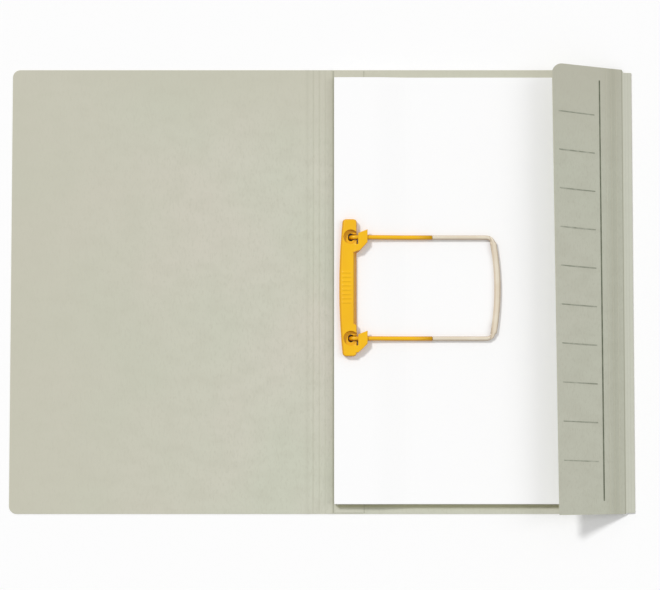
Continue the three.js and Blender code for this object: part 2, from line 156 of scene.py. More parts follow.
world.node_tree.links.new(level.outputs["Result"], sky.inputs["Strength"])
scene.world = world


def sun(name, towards, softness, share):
    """Even light from one side. Share is how much of a level surface's colour it shows."""
    data = bpy.data.lights.new(name, "SUN")
    data.angle = math.radians(softness)
    data.energy = share * math.pi * towards.length / towards.z
    light = bpy.data.objects.new(name, data)
    light.location = towards
    light.rotation_mode = "QUATERNION"
    light.rotation_quaternion = (-towards).to_track_quat("-Z", "Y")
    scene.collection.objects.link(light)


sun("key", KEY_TOWARDS, KEY_SOFTNESS, KEY_SHARE)
sun("window", WINDOW_TOWARDS, WINDOW_SOFTNESS, WINDOW_SHARE)
print("light level", round(AMBIENT + KEY_SHARE + WINDOW_SHARE, 2))

# %% [markdown]
# ## Shader arithmetic
# A finish is mostly arithmetic on positions and noises. Each step could be a node added by hand, but a
# mask then takes a dozen lines. Wire wraps one output socket, so that a mask can be written as an
# ordinary expression.

# %% Wires
class Wire:
    """One output socket. Arithmetic on it adds Math nodes to its tree."""

    def __init__(self, tree, socket):
        self.tree = tree
        self.socket = socket

    def math(self, operation, *others, clamp=False):
        node = self.tree.nodes.new("ShaderNodeMath")
        node.operation = operation
        node.use_clamp = clamp
        for slot, value in enumerate((self, *others)):
            if isinstance(value, Wire):
                self.tree.links.new(value.socket, node.inputs[slot])
            else:
                node.inputs[slot].default_value = value
        return Wire(self.tree, node.outputs[0])

    def __add__(self, other):
        return self.math("ADD", other)

    def __sub__(self, other):
        return self.math("SUBTRACT", other)

    def __mul__(self, other):
        return self.math("MULTIPLY", other)

    def __rsub__(self, other):
        return (self * -1.0) + other

    __radd__ = __add__
    __rmul__ = __mul__

    def near(self, place, width):
        """1 at place, falling smoothly to 0 at width from it."""
        away = (self - place).math("ABSOLUTE") * (1.0 / width)
        share = (1.0 - away).math("MAXIMUM", 0.0)
        return share * share

    def past(self, start, end):
        """0 before start and 1 after end."""
        return ((self - start) * (1.0 / (end - start))).math("MULTIPLY", 1.0, clamp=True)


print("wire methods", [name for name in vars(Wire) if not name.startswith("_")])

# %% [markdown]
# ## Materials
# Card, paper and plastic are all made in the same way: a plain shader, and masks that mix a few nearby
# colours by where a point lies on the piece. Finish holds one such material. What is the same all over
# goes straight onto the shader's own sockets.

# %% Finishes
class Finish:
    """A material, with one method for any node that isn't arithmetic."""

    def __init__(self, name, roughness, **constants):
        self.material = bpy.data.materials.new(name)
        self.material.use_nodes = True
        self.tree = self.material.node_tree
        self.shader = self.tree.nodes["Principled BSDF"]
        self.shader.inputs["Roughness"].default_value = roughness
        for socket, value in constants.items():
            self.shader.inputs[socket.replace("_", " ")].default_value = value
        self.object_space = self.node("ShaderNodeTexCoord", {}, {}, "Object")
        apart = self.node("ShaderNodeSeparateXYZ", {}, {"Vector": self.object_space}, None)
        self.x, self.y, self.z = (Wire(self.tree, apart.outputs[axis]) for axis in "XYZ")

    def node(self, kind, settings, values, output=0):
        node = self.tree.nodes.new(kind)
        for name, value in settings.items():
            setattr(node, name, value)
        for name, value in values.items():
            if isinstance(value, Wire):
                self.tree.links.new(value.socket, node.inputs[name])
            else:
                node.inputs[name].default_value = value
        return node if output is None else Wire(self.tree, node.outputs[output])

    def noise(self, scale, detail=3.0, stretch=None):
        place = self.object_space
        if stretch:
            place = self.node("ShaderNodeMapping", {}, {"Vector": place, "Scale": stretch})
        values = {"Vector": place, "Scale": scale, "Detail": detail}
        return self.node("ShaderNodeTexNoise", {}, values, "Fac")

    def mixed(self, share, low, high):
        """A colour between two colours or colour wires."""
        node = self.tree.nodes.new("ShaderNodeMix")
        node.data_type = "RGBA"
        self.tree.links.new(share.socket, node.inputs[0])
        for slot, value in ((6, low), (7, high)):
            if isinstance(value, Wire):
                self.tree.links.new(value.socket, node.inputs[slot])
            else:
                node.inputs[slot].default_value = (*value, 1.0)
        return Wire(self.tree, node.outputs[2])

    def color(self, wire):
        self.tree.links.new(wire.socket, self.shader.inputs["Base Color"])

    def rough(self, wire):
        self.tree.links.new(wire.socket, self.shader.inputs["Roughness"])

    def bump(self, height, distance, strength=1.0):
        values = {"Height": height, "Distance": distance, "Strength": strength}
        bump = self.node("ShaderNodeBump", {}, values, "Normal")
        self.tree.links.new(bump.socket, self.shader.inputs["Normal"])

    def facing_up(self):
        """1 where the surface lies level, 0 where it stands upright."""
        normal = self.node("ShaderNodeTexCoord", {}, {}, "Normal")
        return self.node("ShaderNodeSeparateXYZ", {}, {"Vector": normal}, "Z").math("ABSOLUTE")


def linear(value):
    """One channel of a picture colour, from 0 to 255, as the light that it stands for."""
    share = value / 255
    return share / 12.92 if share <= 0.04045 else ((share + 0.055) / 1.055) ** 2.4


def paint(red, green, blue):
    """A picture colour as the linear colour that a shader wants."""
    return linear(red), linear(green), linear(blue)


print("mid grey as light", [round(value, 3) for value in paint(128, 128, 128)])

# %% [markdown]
# ## Folder card
# The card is uncoated and made from mixed fibre, so its grey-green is never quite even: broad pinkish
# and greenish clouds, a fine fibre fleck and a slight tooth. Painted shade makes it a little darker and
# yellower towards its outer and upper edges, and a painted shadow lies on it just below the papers' edge.
# Score lines are pressed into it beside the creases. They are less than a tenth of a millimetre deep, so
# painted shade and bump show them better than geometry would.

# %% Card finish
OUTER_SHADE_FROM = -40 * MM
PAPER_SHADOW_PLACE = paper_low.y - 1.8 * MM
PAPER_SHADOW_HALF = 4.2 * MM
FLAP_CREASE = OUTER_FOLD - 7.36 * MM


def card_finish(name, shade_lines=(), shade_tint=1.0, pinkness=1.0, paper_shadow_share=0.75, outer=0.0):
    """The lines give painted shade along score lines and edges, listed as for the spine. Outer is how much
    paler the card is painted past the flap's crease, as painted light on its level strip.
    """
    card = Finish(name, 0.88, Specular_IOR_Level=0.25)
    clouds = card.noise(9.0, 2.0)
    fleck = card.noise(900.0, 2.0, (1.0, 0.35, 1.0))
    green = paint(200 * shade_tint, 202 * shade_tint, 185 * shade_tint)
    pink = paint(206 * shade_tint, 203 * shade_tint, 189 * shade_tint)
    dark = paint(184 * shade_tint, 183 * shade_tint, 166 * shade_tint)
    shade_tone = paint(196 * shade_tint, 194 * shade_tint, 177 * shade_tint)
    base = card.mixed(clouds.past(0.35, 0.65) * pinkness, green, pink)
    patches = card.noise(70.0, 4.0, (0.8, 1.3, 1.0))
    base = card.mixed(patches.past(0.42, 0.68) * 0.22, base, dark)
    base = card.mixed(fleck.past(0.5, 0.75) * 0.4, base, dark)
    # Painted shade: the card turns a little darker and yellower towards its outer edge and its top.
    outer_shade = card.x.past(OUTER_SHADE_FROM, front_low.x)
    upper = card.y.past(HALF_HEIGHT * 0.55, HALF_HEIGHT * 1.05)
    base = card.mixed((outer_shade * 0.75).math("MAXIMUM", upper * 0.8), base, shade_tone)
    # Painted shadow: an olive band on the card just below the papers' lower edge.
    paper_shadow = card.y.near(PAPER_SHADOW_PLACE, PAPER_SHADOW_HALF) * card.x.past(paper_low.x, paper_low.x + 4 * MM)
    base = card.mixed(paper_shadow * paper_shadow_share, base, paint(166, 163, 116))
    # Painted light: the level strip past the flap's crease is painted paler than the panel.
    outer_strip_light = card.x.past(FLAP_CREASE, FLAP_CREASE + 0.4 * MM)
    base = card.mixed(outer_strip_light * outer, base, paint(204, 205, 192))
    grooves_and_shade = None
    for place, width, strength in shade_lines:
        line = card.x.near(place, width) * strength
        grooves_and_shade = line if grooves_and_shade is None else grooves_and_shade.math("MAXIMUM", line)
    if grooves_and_shade is not None:
        # Painted shade: the card darkens along each listed line, in the score lines and beside raised
        # edges.
        base = card.mixed(grooves_and_shade, base, paint(160 * shade_tint, 160 * shade_tint, 140 * shade_tint))
    edge = 1.0 - card.facing_up().past(0.55, 0.8)
    base = card.mixed(edge * 0.8, base, paint(210 * shade_tint, 208 * shade_tint, 186 * shade_tint))
    card.color(base)
    height = fleck * 0.5 if grooves_and_shade is None else fleck * 0.5 - grooves_and_shade
    card.bump(height, 0.05 * MM, 0.5)
    return card.material


def dress(node, material):
    """Gives a packed piece its material."""
    mesh = frame["nodes"][node].data
    mesh.materials.clear()
    mesh.materials.append(material)


cover_finish = card_finish("card_scored", SCORE_SHADES)
# Painted shade on the flap: a dark line in the valley of its crease, a broad darker band on the panel
# beside it, and two faint lines on its outer strip.
FLAP_SHADE_LINES = [
    (FLAP_CREASE, 1.1 * MM, 0.85),
    (FLAP_CREASE - 8 * MM, 13 * MM, 0.32),
    (OUTER_FOLD - 4.9 * MM, 0.8 * MM, 0.15),
    (OUTER_FOLD - 2.6 * MM, 0.8 * MM, 0.15),
]
# The flap's card is painted a little darker than the covers, as painted shade of a panel turned from the
# light.
flap_finish = card_finish("card_flap", FLAP_SHADE_LINES, shade_tint=0.955, pinkness=0.3, paper_shadow_share=0.0, outer=0.55)
# Painted shadows on the strip: a dark line along the papers' left edge and one beside the strip's own
# raised edge.
STRIP_SHADOW_LINES = [
    (paper_low.x - 0.8 * MM, 1.5 * MM, 0.95),
    (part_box("fastener_strip")[1].x, 1.3 * MM, 0.9),
]
strip_finish = card_finish("card_strip", STRIP_SHADOW_LINES)
for node in ("spine_panel", "front_cover", "back_cover"):
    dress(node, cover_finish)
dress("fastener_strip", strip_finish)
print("card finishes", len(bpy.data.materials))

# %% [markdown]
# ## White sheets
# Office paper is nearly white and quite matt. Seen from the side a block of it shows fine level lines of
# shade where one sheet ends and the next begins. Single sheets could be modelled, but the block is one
# solid. The material paints those lines grey by height, as painted shade, on the upright sides only, and
# costs no faces.

# %% Paper finish
SHEET = 0.19 * MM
paper = Finish("paper_white", 0.9, Specular_IOR_Level=0.2)
tooth = paper.noise(1400.0, 1.0)
upright = 1.0 - paper.facing_up().past(0.5, 0.8)
line = (paper.z * (1.0 / SHEET)).math("FRACT").near(0.5, 0.5) * upright
# Painted shade: the lines between sheets are mixed towards grey.
paper.color(paper.mixed(line * 0.35, (0.975, 0.975, 0.975), (0.60, 0.60, 0.58)))
paper.bump(tooth * 0.4 - line, 0.03 * MM, 0.4)
dress("paper_stack", paper.material)
print("sheet line every", round(SHEET, 5))

# %% [markdown]
# ## Clip plastics
# The bar and tubes are one batch of yellow plastic, moulded with a satin skin; the bow is ivory. Their
# upright sides are painted a deeper, darker colour than their tops: painted shade, which grows as a
# surface turns from level, where the sides face away from the light. The mould leaves a faint grain that
# only shows in the gloss.

# %% Plastic finishes
def plastic_finish(name, main, warm, wall_shade, roughness):
    """Satin plastic. Main and warm mix in soft clouds, and the last colour is painted shade on its upright
    sides.
    """
    plastic = Finish(name, roughness, Specular_IOR_Level=0.35)
    drift = plastic.noise(60.0, 2.0)
    grain = plastic.noise(2600.0, 1.0)
    top = plastic.mixed(drift.past(0.3, 0.7), paint(*main), paint(*warm))
    # Painted shade: the more a surface leans from level, the more it takes the dark side colour.
    sloping_shade = 1.0 - plastic.facing_up().past(0.25, 0.97)
    plastic.color(plastic.mixed(sloping_shade * 0.95, top, paint(*wall_shade)))
    plastic.rough(grain * 0.12 + (roughness - 0.06))
    plastic.bump(grain, 0.015 * MM, 0.35)
    return plastic.material


# The last colour of each plastic is the painted shade of its sides.
yellow = plastic_finish("clip_yellow", (245, 189, 2), (240, 181, 5), (202, 132, 6), 0.34)
ivory = plastic_finish("bow_ivory", (231, 222, 203), (223, 210, 188), (180, 152, 124), 0.27)
print("plastics", yellow.name, ivory.name)

# %% [markdown]
# ## Moulded pieces
# A press bar and a bow leave their mould with soft edges, and the packed solids have sharp ones. A bevel
# could round them, but it wants clean faces to run along, and the packed skins are long thin triangles.
# So a copy of each is merged, rebuilt as an even skin of small cells and relaxed. That rounds each edge
# by about the width of two cells and keeps every wall, rib and recess where it is.

# %% Soft-edged mouldings
WELD = 0.004 * MM


def finished(obj, body, material=None):
    """Puts a made piece in the scene: its finish, its slot and the body that it rides on."""
    if material:
        obj.data.materials.clear()
        obj.data.materials.append(material)
    if obj.name not in scene.collection.objects:
        scene.collection.objects.link(obj)
    if body:
        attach(obj, body)
    return obj


def baked(obj):
    """The object with its modifiers applied to its mesh."""
    bpy.context.view_layer.update()
    evaluated = obj.evaluated_get(bpy.context.evaluated_depsgraph_get())
    mesh = bpy.data.meshes.new_from_object(evaluated)
    obj.modifiers.clear()
    obj.data = mesh
    return obj


def merged_copy(name, node):
    """A copy of a packed piece, with a modifier that joins its loose triangles."""
    copy = bpy.data.objects.new(name, frame["nodes"][node].data.copy())
    scene.collection.objects.link(copy)
    copy.modifiers.new("weld", "WELD").merge_threshold = WELD
    return copy


def moulded(name, node, cell, rounds):
    """A packed piece with soft edges: cells of one size, relaxed a number of rounds."""
    copy = merged_copy(name, node)
    skin = copy.modifiers.new("skin", "REMESH")
    skin.mode = "VOXEL"
    skin.voxel_size = cell
    relax = copy.modifiers.new("relax", "SMOOTH")
    relax.factor = 0.5
    relax.iterations = rounds
    baked(copy)
    copy.data.polygons.foreach_set("use_smooth", [True] * len(copy.data.polygons))
    print(name, "faces", len(copy.data.polygons))
    return copy


BAR_CELL = 0.29 * MM
bar = moulded("press_bar_moulding", "press_bar", BAR_CELL, 2)

# %% [markdown]
# ## Slopes of the bar
# The bar's long walls aren't upright. The right one leans in between the hooks, as a wall has to that
# leaves its mould, and the top slopes down to the left edge. Points of the moulding are moved by how
# near they are to those walls, which keeps the holes and hooks where they are. The two ends are drawn in
# by a millimetre in the same way.

# %% Bar slopes
DRAFT = 2.6 * MM
DRAFT_REACH = 4.2 * MM
SLOPE_REACH = 2.6 * MM
SLOPE_DROP = 1.3 * MM
SLOPE_CURVE = 1.5
BAR_BULGE = 2.5 * MM
HOOK_FREE = 28.5 * MM
HOOK_BLEND = 1.2 * MM
WALL_X = 27.6 * MM
END_START = 46 * MM
END_TRIM = 1.1 * MM


def smooth_step(share):
    """0 before 0 and 1 after 1, with a soft start and end."""
    share = min(max(share, 0.0), 1.0)
    return share * share * (3 - 2 * share)


bar_half = (bar_high.y - bar_low.y) / 2
for vertex in bar.data.vertices:
    x, y, z = vertex.co
    height = min(max((z - bar_low.z) / (bar_high.z - bar_low.z), 0.0), 1.0)
    clear = 1 - smooth_step((abs(y - CLIP_Y) - HOOK_FREE) / HOOK_BLEND)
    near_wall = smooth_step((x - WALL_X + DRAFT_REACH) / DRAFT_REACH)
    left_edge = bar_low.x + BAR_BULGE * ((y - CLIP_Y) / bar_half) ** 2
    near_left = 1 - smooth_step((x - left_edge) / SLOPE_REACH)
    vertex.co.x = x - DRAFT * height * near_wall * clear
    vertex.co.z = z - SLOPE_DROP * height * near_left ** SLOPE_CURVE
    at_end = smooth_step((abs(y - CLIP_Y) - END_START) / (bar_half - END_START))
    vertex.co.y = y - math.copysign(END_TRIM * at_end, y - CLIP_Y)
finished(bar, "back", yellow)
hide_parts("press_bar")
print("bar leans", round(DRAFT, 4), "drops", round(SLOPE_DROP, 4), "is shorter by", round(2 * END_TRIM, 4))

# %% [markdown]
# ## Crown of the bow
# The bow's cross limb is wider than its legs and gently crowned, so one side of it catches the light and
# the other falls away. A crown this slight is easier to press out of the finished skin than to model:
# the points of the limb are drawn towards its middle level by how far they are from its centre line.

# %% Bow crown
BOW_CELL = 0.22 * MM
LIMB_HALF = 2.5 * MM
LIMB_REACH = 1.2
LIMB_BOW = 3.2 * MM
CROWN = 0.7
BOW_LEVEL = (bow_low.z + bow_high.z) / 2
bow = moulded("transfer_bow_moulding", "transfer_bow", BOW_CELL, 3)
bow_half = (bow_high.y - bow_low.y) / 2
for vertex in bow.data.vertices:
    x, y, z = vertex.co
    centre = bow_high.x - LIMB_HALF - LIMB_BOW * ((y - CLIP_Y) / bow_half) ** 2
    away = min(abs(x - centre) / LIMB_HALF, 1.0) if x > centre - LIMB_HALF * LIMB_REACH else 0.0
    vertex.co.z = BOW_LEVEL + (z - BOW_LEVEL) * (1 - CROWN * away * away)
finished(bow, "bow", ivory)
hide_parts("transfer_bow")
print("bow level", round(BOW_LEVEL, 4))

# %% [markdown]
# ## Tubes of the clip
# Each tube is a real tube with an open end, which the bow plugs into. It rises through the papers, bends
# over, and sinks from the bar's hook to the level of the papers. A curve with a bevel would give the
# outside but no bore, so the walls are laid in code, from one centre line for each tube.

# %% Centre line of a tube
TUBE_REACH = 64.2 * MM
LEG_RADIUS = 1.7 * MM
TUBE_RADIUS = 1.75 * MM
BORE_RADIUS = 1.35 * MM
BEND_RADIUS = 3.6 * MM
BEND_STEPS = 12
DROP_START = 14 * MM
DROP_END = 46 * MM
DROP_STEPS = 16
PLATE_THICKNESS = 0.8 * MM
TUBE_TOP = base_high.z - TUBE_RADIUS
CLIP_X = base_high.x - TUBE_REACH
HALF_PITCH = bow_high.y - LEG_RADIUS - CLIP_Y


def tube_line(y):
    """Centre points of the tube at y, from inside the base plate to its open end."""
    points = [Vector((CLIP_X, y, CARD + PLATE_THICKNESS / 2))]
    for step in range(BEND_STEPS + 1):
        angle = step / BEND_STEPS * math.pi / 2
        points.append(Vector((CLIP_X + BEND_RADIUS * (1 - math.cos(angle)), y,
                              TUBE_TOP - BEND_RADIUS * (1 - math.sin(angle)))))
    for step in range(DROP_STEPS + 1):
        share = step / DROP_STEPS
        points.append(Vector((CLIP_X + DROP_START + share * (DROP_END - DROP_START), y,
                              TUBE_TOP + (BOW_LEVEL - TUBE_TOP) * smooth_step(share))))
    points.append(Vector((base_high.x, y, BOW_LEVEL)))
    return points


print("tube from", round(CLIP_X, 4), "to", round(base_high.x, 4), "half pitch", round(HALF_PITCH, 4))

# %% [markdown]
# ## Walls of the tubes
# A ring of points is carried along the centre line, turned to face along it, once for the outside and
# once for the bore. Squares join each ring to the next, and the two skins are joined at both ends, so
# the tube is closed and its faces point away from the plastic.

# %% Tube walls
TUBE_SIDES = 32


def ring_points(line, index, radius):
    """A ring round one point of the line, square to it."""
    before = line[max(index - 1, 0)]
    after = line[min(index + 1, len(line) - 1)]
    along = (after - before).normalized()
    across = Vector((0, 1, 0))
    up = along.cross(across)
    angles = [2 * math.pi * side / TUBE_SIDES for side in range(TUBE_SIDES)]
    return [line[index] + radius * (math.cos(angle) * across + math.sin(angle) * up) for angle in angles]


def tube_mesh(name, lines):
    """One mesh of tubes, each with an outer and an inner skin along its line."""
    points, faces = [], []
    for line in lines:
        start = len(points)
        count = len(line)
        for radius in (TUBE_RADIUS, BORE_RADIUS):
            for index in range(count):
                points += ring_points(line, index, radius)
        for skin in (0, 1):
            for index in range(count - 1):
                for side in range(TUBE_SIDES):
                    a = start + (skin * count + index) * TUBE_SIDES + side
                    b = start + (skin * count + index) * TUBE_SIDES + (side + 1) % TUBE_SIDES
                    quad = (a, b, b + TUBE_SIDES, a + TUBE_SIDES)
                    faces.append(quad[::-1] if skin else quad)
        for index in (0, count - 1):
            for side in range(TUBE_SIDES):
                a = start + index * TUBE_SIDES + side
                b = start + index * TUBE_SIDES + (side + 1) % TUBE_SIDES
                shift = count * TUBE_SIDES
                quad = (a, b, b + shift, a + shift)
                faces.append(quad[::-1] if index == 0 else quad)
    mesh = bpy.data.meshes.new(name)
    mesh.from_pydata(points, [], faces)
    mesh.update()
    return mesh


tubes = bpy.data.objects.new("clip_tubes", tube_mesh("clip_tubes", [
    tube_line(CLIP_Y + HALF_PITCH), tube_line(CLIP_Y - HALF_PITCH)]))
tubes.data.polygons.foreach_set("use_smooth", [True] * len(tubes.data.polygons))
finished(tubes, "back", yellow)
print("tube faces", len(tubes.data.polygons))

# %% [markdown]
# ## Base plate of the clip
# The tubes rise from a thin plate with round ends, which lies between the cover and the strip that is
# glued over it. A cylinder stretched in its middle would do, with hard edges. Four outlines, one above
# the other and drawn in at the top and bottom, give it soft ones.

# %% Base plate
PLATE_LENGTH = 108 * MM
PLATE_HALF = 5 * MM
PLATE_EDGE = 0.15 * MM
END_POINTS = 17


def plate_outline(inset):
    """The plate's outline, a stadium, drawn in by inset."""
    radius = PLATE_HALF - inset
    reach = PLATE_LENGTH / 2 - PLATE_HALF
    outline = []
    for end in (1, -1):
        for index in range(END_POINTS):
            turn = math.pi * index / (END_POINTS - 1)
            outline.append((CLIP_X + end * radius * math.cos(turn),
                            CLIP_Y + end * (reach + radius * math.sin(turn))))
    return outline


plate_points = []
for inset, height in ((PLATE_EDGE, 0.0), (0.0, PLATE_EDGE), (0.0, PLATE_THICKNESS - PLATE_EDGE),
                      (PLATE_EDGE, PLATE_THICKNESS)):
    plate_points += [(x, y, CARD + height) for x, y in plate_outline(inset)]
around = 2 * END_POINTS
plate_faces = [tuple(reversed(range(around))), tuple(range(3 * around, 4 * around))]
for ring in range(3):
    for index in range(around):
        low, side = ring * around + index, ring * around + (index + 1) % around
        plate_faces.append((low, side, side + around, low + around))
plate_mesh = bpy.data.meshes.new("clip_plate")
plate_mesh.from_pydata(plate_points, [], plate_faces)
plate = finished(bpy.data.objects.new("clip_plate", plate_mesh), "back", yellow)
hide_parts("clip_base")
print("plate faces", len(plate_faces))

# %% [markdown]
# ## Creases
# The card is one piece, so its creases have to stay closed when a leaf turns. The rigid leaves would
# show a gap there. A narrow ribbon lies over each spine crease, and a half-round one wraps the outer
# fold. Each is cut into fine rows.

# %% Spine creases
RIBBON_HALF = 1.3 * MM
RIBBON_ROWS = 12
RIBBON_BOTTOM = CARD * 0.1
SKIN = 0.012 * MM


def swept_sheet(name, section, low_y, high_y):
    """A closed strip: a thin section in X and Z, given as an outer and an inner line, drawn along Y."""
    outer, inner = section
    loop = [*outer, *reversed(inner)]
    count = len(loop)
    points = [Vector((x, y, z)) for y in (low_y, high_y) for x, z in loop]
    faces = [(i, (i + 1) % count, count + (i + 1) % count, count + i) for i in range(count)]
    half = len(outer)
    for row in range(half - 1):
        ends = (row, row + 1, count - 2 - row, count - 1 - row)
        faces.append(ends[::-1])
        faces.append(tuple(count + index for index in ends))
    mesh = bpy.data.meshes.new(name)
    mesh.from_pydata(points, [], faces)
    mesh.update()
    work = bmesh.new()
    work.from_mesh(mesh)
    bmesh.ops.recalc_face_normals(work, faces=work.faces)
    work.to_mesh(mesh)
    work.free()
    return bpy.data.objects.new(name, mesh)


def flat_ribbon(name, crease_x):
    """A strip of card over a spine crease."""
    places = [crease_x + RIBBON_HALF * (2 * row / RIBBON_ROWS - 1) for row in range(RIBBON_ROWS + 1)]
    top = [(x, CARD + SKIN) for x in places]
    bottom = [(x, RIBBON_BOTTOM) for x in places]
    ribbon = swept_sheet(name, (top, bottom), -HALF_HEIGHT, HALF_HEIGHT)
    finished(ribbon, None, cover_finish)
    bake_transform(ribbon)
    print(name, "faces", len(ribbon.data.polygons))


flat_ribbon("front_crease", FRONT_CREASE)
flat_ribbon("back_crease", BACK_CREASE)

# %% [markdown]
# ## The outer fold
# At the outer fold the card turns right round, from the back cover to the flap above it. Its ribbon is
# half a tube with a short lip at each edge, which runs onto the flat card. It stops a little short at the
# ends, where the flap is trimmed.

# %% Outer fold
FOLD_INNER = 0.13 * MM
FOLD_OUTER = 0.66 * MM
FOLD_ROWS = 14
FOLD_SET_IN = 0.3 * MM
LOWER_LIP = 0.5 * MM
UPPER_LIP = 0.3 * MM
TRIM_TOP = 2.4 * MM
TRIM_BOTTOM = 0.8 * MM
fold_z = joint_at["flap_fold"].z
fold_x = OUTER_FOLD - FOLD_SET_IN


def fold_arc(radius):
    """Half a circle round the fold with a flat lip at each end, as pairs of X and Z."""
    angles = [math.pi * (row / FOLD_ROWS - 0.5) for row in range(FOLD_ROWS + 1)]
    arc = [(fold_x + radius * math.cos(angle), fold_z + radius * math.sin(angle)) for angle in angles]
    return [(fold_x - LOWER_LIP, arc[0][1]), *arc, (fold_x - UPPER_LIP, arc[-1][1])]


fold_strip = swept_sheet("flap_crease", (fold_arc(FOLD_OUTER), fold_arc(FOLD_INNER)),
                         -HALF_HEIGHT + TRIM_BOTTOM, HALF_HEIGHT - TRIM_TOP)
finished(fold_strip, None, cover_finish)
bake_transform(fold_strip)
print("flap_crease faces", len(fold_strip.data.polygons))

# %% [markdown]
# ## Printed ruling on the flap
# The flap carries a plain printed form: one upright rule and a row of short rules to its left. The card's
# material could draw them, but lines this thin would blur once the material is baked to a picture.
# Geometry Nodes lay a thin strip of ink for each, spaced evenly, and a tree's named inputs hold the
# sizes. These helpers make such a tree and run it.

# %% Geometry tree helpers
def socket_id(tree, name):
    """The name under which a modifier keeps one of a tree's inputs."""
    return next(item.identifier for item in tree.interface.items_tree
                if item.item_type == "SOCKET" and item.in_out == "INPUT" and item.name == name)


def new_tree(name, inputs):
    """A geometry tree with named inputs. Returns the tree and a way to add nodes to it."""
    tree = bpy.data.node_groups.new(name, "GeometryNodeTree")
    tree.interface.new_socket("Geometry", in_out="INPUT", socket_type="NodeSocketGeometry")
    for label, kind, value in inputs:
        item = tree.interface.new_socket(label, in_out="INPUT", socket_type=kind)
        item.default_value = value
    tree.interface.new_socket("Geometry", in_out="OUTPUT", socket_type="NodeSocketGeometry")

    def add(kind, settings=None, **values):
        node = tree.nodes.new(kind)
        for setting, value in (settings or {}).items():
            setattr(node, setting, value)
        for label, value in values.items():
            socket = node.inputs[label.replace("_", " ")]
            if isinstance(value, bpy.types.NodeSocket):
                tree.links.new(value, socket)
            else:
                socket.default_value = value
        return node

    return tree, add


def grown(name, tree, values):
    """Runs a geometry tree once and returns its result as a plain mesh object."""
    carrier = bpy.data.objects.new(name, bpy.data.meshes.new(name))
    scene.collection.objects.link(carrier)
    modifier = carrier.modifiers.new(name, "NODES")
    modifier.node_group = tree
    for label, value in values.items():
        modifier[socket_id(tree, label)] = value
    return baked(carrier)


print("trees before the ruling", len(bpy.data.node_groups))

# %% [markdown]
# ## Ink
# Printing ink sinks into uncoated card, so it is matt and a little uneven. One ink is dark, for the
# upright rule, and one is pale, for the short rules.

# %% Inks
def ink_finish(name, main, worn):
    """Ink of one colour, worn in patches to a paler one."""
    ink = Finish(name, 0.8, Specular_IOR_Level=0.2)
    wear = ink.noise(160.0, 4.0)
    ink.color(ink.mixed(wear.past(0.4, 0.7), paint(*main), paint(*worn)))
    return ink.material


dark_ink = ink_finish("ink_dark", (100, 105, 88), (122, 126, 108))
pale_ink = ink_finish("ink_pale", (140, 144, 128), (176, 178, 163))
print("inks", dark_ink.name, pale_ink.name)

# %% [markdown]
# ## Tree for the ruling
# A line of points runs down the page, one for each rule, and a flat strip is placed on each of them.
# The strips are then made real, so that the result is one plain mesh, and given their ink.

# %% Ruling tree
rule_tree, add = new_tree("ruling", [
    ("Count", "NodeSocketInt", 10),
    ("Pitch", "NodeSocketFloat", 30 * MM),
    ("Length", "NodeSocketFloat", 30 * MM),
    ("Width", "NodeSocketFloat", 1 * MM),
    ("Height", "NodeSocketFloat", 0.02 * MM),
    ("Ink", "NodeSocketMaterial", None),
])
rule_in = add("NodeGroupInput")
row_line = add("GeometryNodeMeshLine", Count=rule_in.outputs["Count"])
step = add("ShaderNodeCombineXYZ")
down = add("ShaderNodeMath", {"operation": "MULTIPLY"})
rule_tree.links.new(rule_in.outputs["Pitch"], down.inputs[0])
down.inputs[1].default_value = -1.0
rule_tree.links.new(down.outputs[0], step.inputs["Y"])
rule_tree.links.new(step.outputs[0], row_line.inputs["Offset"])
size = add("ShaderNodeCombineXYZ", X=rule_in.outputs["Length"], Y=rule_in.outputs["Width"],
           Z=rule_in.outputs["Height"])
strip = add("GeometryNodeMeshCube", Size=size.outputs[0])
copies = add("GeometryNodeInstanceOnPoints", Points=row_line.outputs[0], Instance=strip.outputs[0])
real = add("GeometryNodeRealizeInstances", Geometry=copies.outputs[0])
inked = add("GeometryNodeSetMaterial", Geometry=real.outputs[0], Material=rule_in.outputs["Ink"])
rule_out = add("NodeGroupOutput")
rule_tree.links.new(inked.outputs[0], rule_out.inputs[0])
print("ruling nodes", len(rule_tree.nodes))

# %% [markdown]
# ## The flap's panel
# From the outer fold a narrow strip rises gently to the flap's crease, and from there the panel rises
# more steeply to its free edge, which leans a little. Rules are laid out flat, and each of their points is
# then carried to its place on the panel.

# %% Places on the panel
PANEL_SLOPE = math.radians(27)
STRIP_SLOPE = math.radians(6)
STRIP_WIDTH = 7.4 * MM
SKEW = 3.4 * MM
PANEL_WIDTH = 64.4 * MM
FOLD_GAP = 0.3 * MM
INK_LIFT = 0.03 * MM
crease_x = OUTER_FOLD - STRIP_WIDTH * math.cos(STRIP_SLOPE)
crease_z = CARD + FOLD_GAP + STRIP_WIDTH * math.sin(STRIP_SLOPE)
free_x = crease_x - PANEL_WIDTH * math.cos(PANEL_SLOPE)
panel_normal = Vector((math.sin(PANEL_SLOPE), 0, math.cos(PANEL_SLOPE)))


def on_panel(along, y):
    """The place on the flap's outer face, along from its crease towards the free edge, at height y."""
    out = CARD + INK_LIFT
    x = crease_x - along * math.cos(PANEL_SLOPE) + out * math.sin(PANEL_SLOPE)
    z = crease_z + along * math.sin(PANEL_SLOPE) + out * math.cos(PANEL_SLOPE)
    share = (OUTER_FOLD - x) / (OUTER_FOLD - free_x)
    return Vector((x - SKEW * share * y / (2 * HALF_HEIGHT), y, z))


def laid_on_panel(obj, along, y, lean):
    """Turns a flat piece onto the panel; lean is how far its lines drop for each unit to the right."""
    for vertex in obj.data.vertices:
        flat = vertex.co.copy()
        place = on_panel(along - flat.x, y + flat.y - lean * flat.x)
        vertex.co = place + panel_normal * flat.z


print("free edge at", round(free_x, 4))

